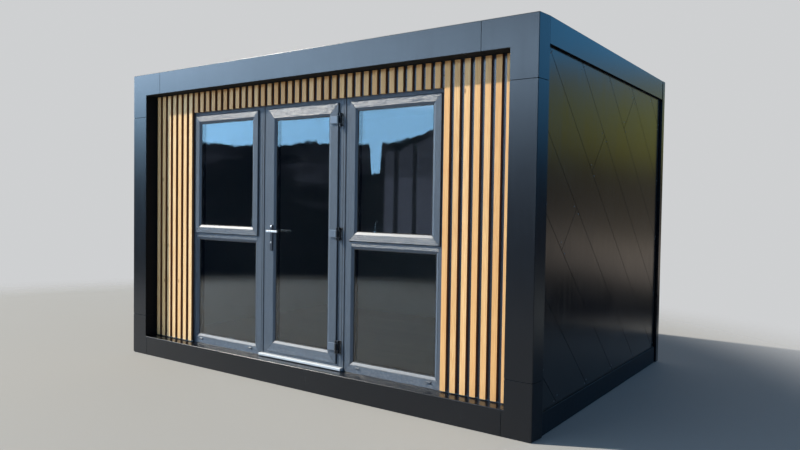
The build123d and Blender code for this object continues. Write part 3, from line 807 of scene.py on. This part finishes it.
def buildCouplerSeals(work):
    # rubber strips along both edges of the cover strips beside the door
    low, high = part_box("door_couplers")
    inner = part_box("door_frame")[1].x
    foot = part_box("door_threshold")[1].z + 0.0005
    for start in (inner + 0.0004, high.x - 0.0034):
        for side in (-1, 1):
            ends = sorted((side * start, side * (start + 0.003)))
            addBox(work, (ends[0], low.y - 0.0007, foot), (ends[1], low.y + 0.0001, high.z))


newPiece("door_seal", buildDoorSeal, sealRubber, "cabin")
newPiece("sash_seals", buildSashSeals, sealRubber, "cabin")
newPiece("coupler_seals", buildCouplerSeals, sealRubber, "cabin")


# Drainage caps on the bottom rails of the windows

capSize = {"height": 0.207, "places": (0.566, 1.187), "width": 0.036, "tall": 0.011, "proud": 0.0075}


def buildCaps(work):
    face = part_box("window_right_frame")[0].y
    half, tall, proud = capSize["width"] / 2, capSize["tall"] / 2, capSize["proud"]
    z = capSize["height"]
    for x in [sign * p for p in capSize["places"] for sign in (-1, 1)]:
        section = ((face, z - tall), (face - proud * 0.5, z - tall), (face - proud, z - tall * 0.4),
                   (face - proud, z + tall * 0.5), (face - proud * 0.6, z + tall), (face, z + tall))
        ends = [[work.verts.new((end, *point)) for point in section] for end in (x - half, x + half)]
        joinRings(work, ends)


capMaterial = metalMaterial("drainCap", capLook)
newPiece("drain_caps", buildCaps, capMaterial, "cabin")


# Screws that hold the backing board, seen in the gaps between the slats

backScrewLook = {"radius": 0.0042, "height": 0.0014, "fromTop": 0.088, "fromBottom": 0.075}


def buildBackingScrews(work):
    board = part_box("slat_backing")
    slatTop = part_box("slats_right")[1].z
    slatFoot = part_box("slats_right")[0].z
    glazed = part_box("window_right_frame")[1].x
    pitch = slatLook["pitch"]
    for gap in range(1, 47, 2):
        x = slatLook["start"] + gap * pitch
        heights = [slatTop - backScrewLook["fromTop"]]
        if abs(x) > glazed + pitch:
            heights.append(slatFoot + backScrewLook["fromBottom"])
        for z in heights:
            addHead(work, (x, board[0].y + 0.0002, z), (0, -1, 0), backScrewLook["radius"],
                    backScrewLook["height"], 10)


newPiece("backing_screws", buildBackingScrews, sealRubber, "cabin", smooth=True)


# Fixings near the corners of the cladding panels

fixingSize = {"radius": 0.0055, "height": 0.0018, "inset": 0.0476, "shortest": 0.13}


def buildFixings(node, axis, side):
    def build(work):
        low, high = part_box(node)
        level = high[axis] if side > 0 else low[axis]
        outward = Vector((0, 0, 0))
        outward[axis] = side
        for points in solidsOf(node):
            corners = [p for p in points if abs(p[axis] - level) < 0.0005]
            centre = sum(corners, Vector()) / len(corners)
            for corner in corners:
                inward = centre - corner
                if inward.length < fixingSize["shortest"]:
                    continue
                spot = corner + inward.normalized() * fixingSize["inset"] - outward * 0.0002
                addHead(work, spot, outward, fixingSize["radius"], fixingSize["height"], 12)
    return build


for side, axis, direction in (("right", 0, 1), ("left", 0, -1), ("rear", 1, 1)):
    build = buildFixings("cladding_" + side, axis, direction)
    newPiece("fixings_" + side, build, fixingHead, "cabin", smooth=True)


# Rounded covers over the leaf flags of the hinges

coverSize = {"past": 0.0008, "web": 0.0125, "proud": 0.0115, "rounding": 0.003}


def buildHingeCovers(work):
    leafLow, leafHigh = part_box("door_leaf")
    for points in solidsOf("door_hinges_leaf"):
        low, high = boxOf(points)
        past = coverSize["past"]
        addBox(work, (low.x - past, leafLow.y - coverSize["proud"], low.z - past),
               (leafHigh.x - coverSize["web"], leafLow.y + 0.0005, high.z + past), coverSize["rounding"])


newPiece("hinge_covers", buildHingeCovers, hingeMetal, "door")


# Handle plates: the keyway and polished faces of the lock cylinder, a domed cap at the top of the
# outer plate, and the inner plate's screws

plateFittings = {
    "x": -0.312, "cylinder": 1.09, "face": 0.0079, "cylinderProud": 0.003,
    "keySlot": (0.0012, 0.0045), "keyRound": (0.0022, 0.0035),
    "outer": {"heights": (1.2175,), "radius": 0.0084, "rise": 0.0052},
    "inner": {"heights": (1.216, 1.038), "radius": 0.0042, "rise": 0.0016},
}


def buildKeyway(work):
    x, z = plateFittings["x"], plateFittings["cylinder"]
    half, tall = plateFittings["keySlot"]
    radius, above = plateFittings["keyRound"]
    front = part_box("door_handle_plates")[0].y
    addBox(work, (x - half, front - 0.0005, z - tall), (x + half, front + 0.002, z + tall))
    addHead(work, (x, front - 0.0004, z + above), (0, -1, 0), radius, 0.0002, 10)


def buildPlateCaps(work):
    low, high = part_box("door_handle_plates")
    x, z = plateFittings["x"], plateFittings["cylinder"]
    for level, side, caps in ((low.y, -1, plateFittings["outer"]), (high.y, 1, plateFittings["inner"])):
        addHead(work, (x, level - side * 0.0002, z), (0, side, 0), plateFittings["face"], 0.0004, 20)
        plate = level - side * (plateFittings["cylinderProud"] + 0.0002)
        for height in caps["heights"]:
            addHead(work, (x, plate, height), (0, side, 0), caps["radius"], caps["rise"], 16)


newPiece("keyway", buildKeyway, sealRubber, "door")
newPiece("plate_caps", buildPlateCaps, leverMetal, "door", smooth=True)


# Handles on the inside of the sashes, seen through the glass

handleLook = {
    "places": (-0.652, 0.652), "aboveFoot": 0.033, "rose": (0.014, 0.03, 0.008), "radius": 0.0075,
    "sides": 14, "flat": 0.75, "rounding": 0.003,
    "path": ((0.0, 0.004, 0.0), (0.0, 0.022, 0.003), (0.0, 0.033, 0.016), (0.0, 0.036, 0.045),
             (0.0, 0.036, 0.082), (0.004, 0.035, 0.1), (0.014, 0.033, 0.109), (0.026, 0.031, 0.111)),
}


def addTube(work, points, radius, sides, flat):
    rings = []
    for index, point in enumerate(points):
        before = points[max(index - 1, 0)]
        after = points[min(index + 1, len(points) - 1)]
        along = (after - before).normalized()
        across = along.cross(Vector((0, 1, 0.02))).normalized()
        other = along.cross(across)
        taper = 0.82 if index in (0, len(points) - 1) else 1.0
        rings.append([work.verts.new(point + across * math.cos(t) * radius * taper
                                     + other * math.sin(t) * radius * taper * flat)
                      for t in (2 * math.pi * i / sides for i in range(sides))])
    joinRings(work, rings)


def buildWindowHandles(work):
    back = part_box("window_right_sash")[1].y
    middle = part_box("window_right_sash")[0].z + handleLook["aboveFoot"]
    half, tall, deep = handleLook["rose"]
    for x in handleLook["places"]:
        addBox(work, (x - half, back - 0.0002, middle - tall), (x + half, back + deep, middle + tall),
               handleLook["rounding"])
        route = [Vector((x, back, middle)) + Vector(step) for step in handleLook["path"]]
        addTube(work, route, handleLook["radius"], handleLook["sides"], handleLook["flat"])


newPiece("window_handles", buildWindowHandles, leverMetal, "cabin", smooth=True)
print("small pieces built")


# Pale floor that fades out into the backdrop

paleFloor = {"color": color(158, 157, 154), "speckle": color(149, 148, 145), "solid": 4.9, "gone": 7.3,
             "middle": (-1.3, -1.6, 0.0), "radius": 12.0}


def buildFloor():
    mesh = bpy.data.meshes.new("paleFloor")
    work = bmesh.new()
    bmesh.ops.create_circle(work, cap_ends=True, segments=96, radius=paleFloor["radius"])
    work.to_mesh(mesh)
    work.free()
    floor = bpy.data.objects.new("paleFloor", mesh)
    bpy.context.scene.collection.objects.link(floor)
    material, tree, shader, place = newMaterial("paleFloor", 0.3)
    speckle = noise(tree, place, 240.0, 3.0, 0.6)
    paint = mix(tree, speckle, paleFloor["color"], paleFloor["speckle"])
    surface(tree, shader, paint, 0.8, speckle, 0.0004)
    apart = vectors(tree, "SUBTRACT", place, paleFloor["middle"])[0]
    reach = vectors(tree, "LENGTH", apart)["Value"]
    fill(tree, shader.inputs, {"Alpha": ease(tree, reach, paleFloor["solid"], paleFloor["gone"], 1.0, 0.0)})
    mesh.materials.append(material)


buildFloor()


# Studio surroundings: pale backdrop behind, blue light from the front left, dark low down elsewhere.
# Turns and heights are in degrees round the middle of the cabin, each span as start, full, full, end.

studio = {
    "backdrop": (0.62, 0.63, 0.64, 1.0), "dark": (0.006, 0.012, 0.028, 1.0), "dim": (0.3, 0.33, 0.46, 1.0),
    "ground": (0.47, 0.51, 0.52, 1.0), "groundRight": (0.69, 0.73, 0.84, 1.0),
    "shade": (0.18, 0.3, 0.37, 1.0),
    "skyBlue": (1.85, 3.6, 5.4, 1.0), "skyRight": (0.12, 0.5, 1.05, 1.0), "skyHigh": (0.14, 0.17, 0.22, 1.0),
    "softBox": ((-172.0, -162.0, -110.0, -98.0), (7.7, 9.0, 14.5, 17.0), (6.2, 8.6, 11.6, 1.0)),
    "sideSky": ((26.0, 31.0, 95.0, 112.0), (6.5, 12.0, 22.0, 28.0), (0.25, 0.95, 1.9, 1.0)),
    "line": (-142.8, -154.0, 4.9, 9.1), "notch": 2.4, "notchTurn": (-143.1, -142.9, -142.3, -142.0),
    "panelTurn": (-160.0, -158.0, -143.5, -143.2), "panelFoot": (-2.9, -2.5),
    "panelBand": (2.3, 1.9, 0.6, 1.0),
    "posts": ((-144.6, -144.45, -144.2, -144.05), (-146.1, -146.0, -145.75, -145.65)),
    "groundLine": (-7.0, -10.3), "rightFrom": (-138.6, -140.6), "shadeFrom": (-7.6, -8.6),
    "cornerTurn": (2.0, 11.0, 25.0, 30.0), "cornerTop": (34.0, 24.0), "cornerLift": (21.0, 15.0, 0.0, 1.2),
    "windowTurn": (-112.0, -82.0, -2.0, 9.0), "windowTop": (46.0, 26.0), "lowest": -20.0, "highest": 26.0,
    # what the right side mirrors, from low down to high up
    "rearRight": ((-20, (0.006, 0.008, 0.014)), (-7.5, (0.006, 0.008, 0.014)), (-5.6, (0.05, 0.05, 0.045)),
                  (-4.6, (0.36, 0.31, 0.27)), (-2.6, (0.46, 0.39, 0.32)), (-1.2, (0.19, 0.16, 0.12)),
                  (0.6, (0.13, 0.11, 0.08)), (3.2, (0.11, 0.095, 0.06)), (5.4, (0.3, 0.29, 0.07)),
                  (8.2, (0.33, 0.35, 0.11)), (10.8, (0.3, 0.35, 0.3)), (12.5, (0.14, 0.6, 1.2)),
                  (26, (0.15, 0.5, 0.95))),
}


def span(tree, value, first, second, third, last):
    # rises between the first two and falls between the last two
    return times(tree, ease(tree, value, first, second), ease(tree, value, last, third))


def buildStudio(look):
    world = bpy.data.worlds.new("studio")
    bpy.context.scene.world = world
    world.use_nodes = True
    tree = world.node_tree
    way = put(tree, "TexCoord").outputs["Generated"]
    axes = parts(tree, way)
    height = times(tree, calc(tree, "ARCSINE", axes[2]), math.degrees(1))
    turn = times(tree, calc(tree, "ARCTAN2", axes[0], axes[1]), math.degrees(1))

    # broken skyline, with a gable to the right and a gap beside it
    large = times(tree, minus(tree, noise(tree, way, 5.0, 3.0, 0.5), 0.5), 1.4)
    small = times(tree, minus(tree, noise(tree, way, 60.0, 4.0, 0.7), 0.5), 1.1)
    notch = times(tree, span(tree, turn, *look["notchTurn"]), look["notch"])
    rise = minus(tree, ease(tree, turn, *look["line"]), notch)
    line = plus(tree, plus(tree, large, small), rise)
    above = ease(tree, minus(tree, height, line), -0.12, 0.12)

    # sky over it, with a soft box in front and a patch to the side
    sky = mix(tree, ease(tree, axes[0], 0.1, -0.25), look["skyRight"], look["skyBlue"])
    sky = mix(tree, ease(tree, height, 10.0, 22.0), sky, look["skyHigh"])
    for turns, heights, light in (look["softBox"], look["sideSky"]):
        patch = times(tree, span(tree, turn, *turns), span(tree, height, *heights))
        sky = mix(tree, patch, sky, light)

    # dark band under the skyline, with one dim panel between posts
    mottle = noise(tree, stretched(tree, way, (6.0, 6.0, 22.0)), 1.0, 4.0, 0.6)
    posts = plus(tree, *(span(tree, turn, *post) for post in look["posts"]))
    panel = times(tree, span(tree, turn, *look["panelTurn"]), ease(tree, height, *look["panelFoot"]),
                  ease(tree, minus(tree, height, line), -0.5, -0.75), ease(tree, height, *look["panelBand"]),
                  minus(tree, 1.0, times(tree, posts, 0.85)), ease(tree, mottle, 0.2, 0.6, 0.6, 1.0))
    soft = times(tree, ease(tree, mottle, 0.48, 0.75, 0.0, 0.45), ease(tree, height, -5.0, 0.0))
    dark = mix(tree, calc(tree, "MAXIMUM", panel, soft), look["dark"], look["dim"])

    # lit ground with a wavy edge, shaded to the right
    rightward = ease(tree, turn, *look["rightFrom"])
    wavy = plus(tree, height, times(tree, minus(tree, mottle, 0.5), 0.8))
    ground = mix(tree, ease(tree, turn, -130.0, -144.0), look["ground"], look["groundRight"])
    lit = ease(tree, minus(tree, wavy, mixNumber(tree, rightward, *look["groundLine"])), 0.12, -0.12)
    shaded = times(tree, rightward, ease(tree, wavy, *look["shadeFrom"]))
    below = mix(tree, lit, mix(tree, shaded, dark, look["shade"]), ground)
    around = mix(tree, above, below, sky)

    scale = put(tree, "ValToRGB")
    lift = plus(tree, height, ease(tree, turn, *look["cornerLift"]))
    lift = put(tree, "MapRange", {0: lift, 1: look["lowest"], 2: look["highest"]}).outputs[0]
    tree.links.new(lift, scale.inputs[0])
    stops = scale.color_ramp.elements
    while len(stops) < len(look["rearRight"]):
        stops.new(0.5)
    for stop, (level, shade) in zip(stops, look["rearRight"]):
        stop.position = (level - look["lowest"]) / (look["highest"] - look["lowest"])
        stop.color = (*shade, 1.0)
    corner = times(tree, span(tree, turn, *look["cornerTurn"]), ease(tree, height, *look["cornerTop"]))
    around = mix(tree, corner, around, scale.outputs[0])
    window = times(tree, span(tree, turn, *look["windowTurn"]), ease(tree, height, *look["windowTop"]))

    # every view looks at the plain backdrop, and glass seen straight through shows it too
    rays = put(tree, "LightPath").outputs
    straight = calc(tree, "LESS_THAN", rays["Glossy Depth"], 0.5)
    through = times(tree, rays["Is Transmission Ray"], straight)
    direct = calc(tree, "MAXIMUM", rays["Is Camera Ray"], through)
    seen = mix(tree, calc(tree, "MAXIMUM", window, direct), around, look["backdrop"])
    fill(tree, tree.nodes["Background"].inputs, {"Color": seen})


buildStudio(studio)

sunLook = {"towards": (-0.697, -0.348, 0.627), "strength": 6.1, "angle": 1.0, "color": (1.0, 0.94, 0.84)}
sun = bpy.data.lights.new("keyLight", "SUN")
sun.energy = sunLook["strength"]
sun.angle = math.radians(sunLook["angle"])
sun.color = sunLook["color"]
sunObject = bpy.data.objects.new("keyLight", sun)
sunObject.rotation_mode = "QUATERNION"
sunObject.rotation_quaternion = Vector(sunLook["towards"]).to_track_quat("Z", "Y")
bpy.context.scene.collection.objects.link(sunObject)
print("floor and studio ready")


# Camera at the photograph's place

cameraLook = {"place": (3.6652, -5.1035, 1.4165), "lens": 30.698, "sensor": 36.0,
              "turns": ((35.286, "Z"), (-1.81, "X"), (-0.841, "Y"), (90.0, "X"))}


def buildCamera(look):
    data = bpy.data.cameras.new("photoCamera")
    data.lens = look["lens"]
    data.sensor_width = look["sensor"]
    data.sensor_fit = "HORIZONTAL"
    camera = bpy.data.objects.new("photoCamera", data)
    matrix = Matrix.Translation(look["place"])
    for degrees, axis in look["turns"]:
        matrix = matrix @ Matrix.Rotation(math.radians(degrees), 4, axis)
    camera.matrix_world = matrix
    bpy.context.scene.collection.objects.link(camera)
    bpy.context.scene.camera = camera


buildCamera(cameraLook)
bpy.context.scene.view_settings.view_transform = "Standard"
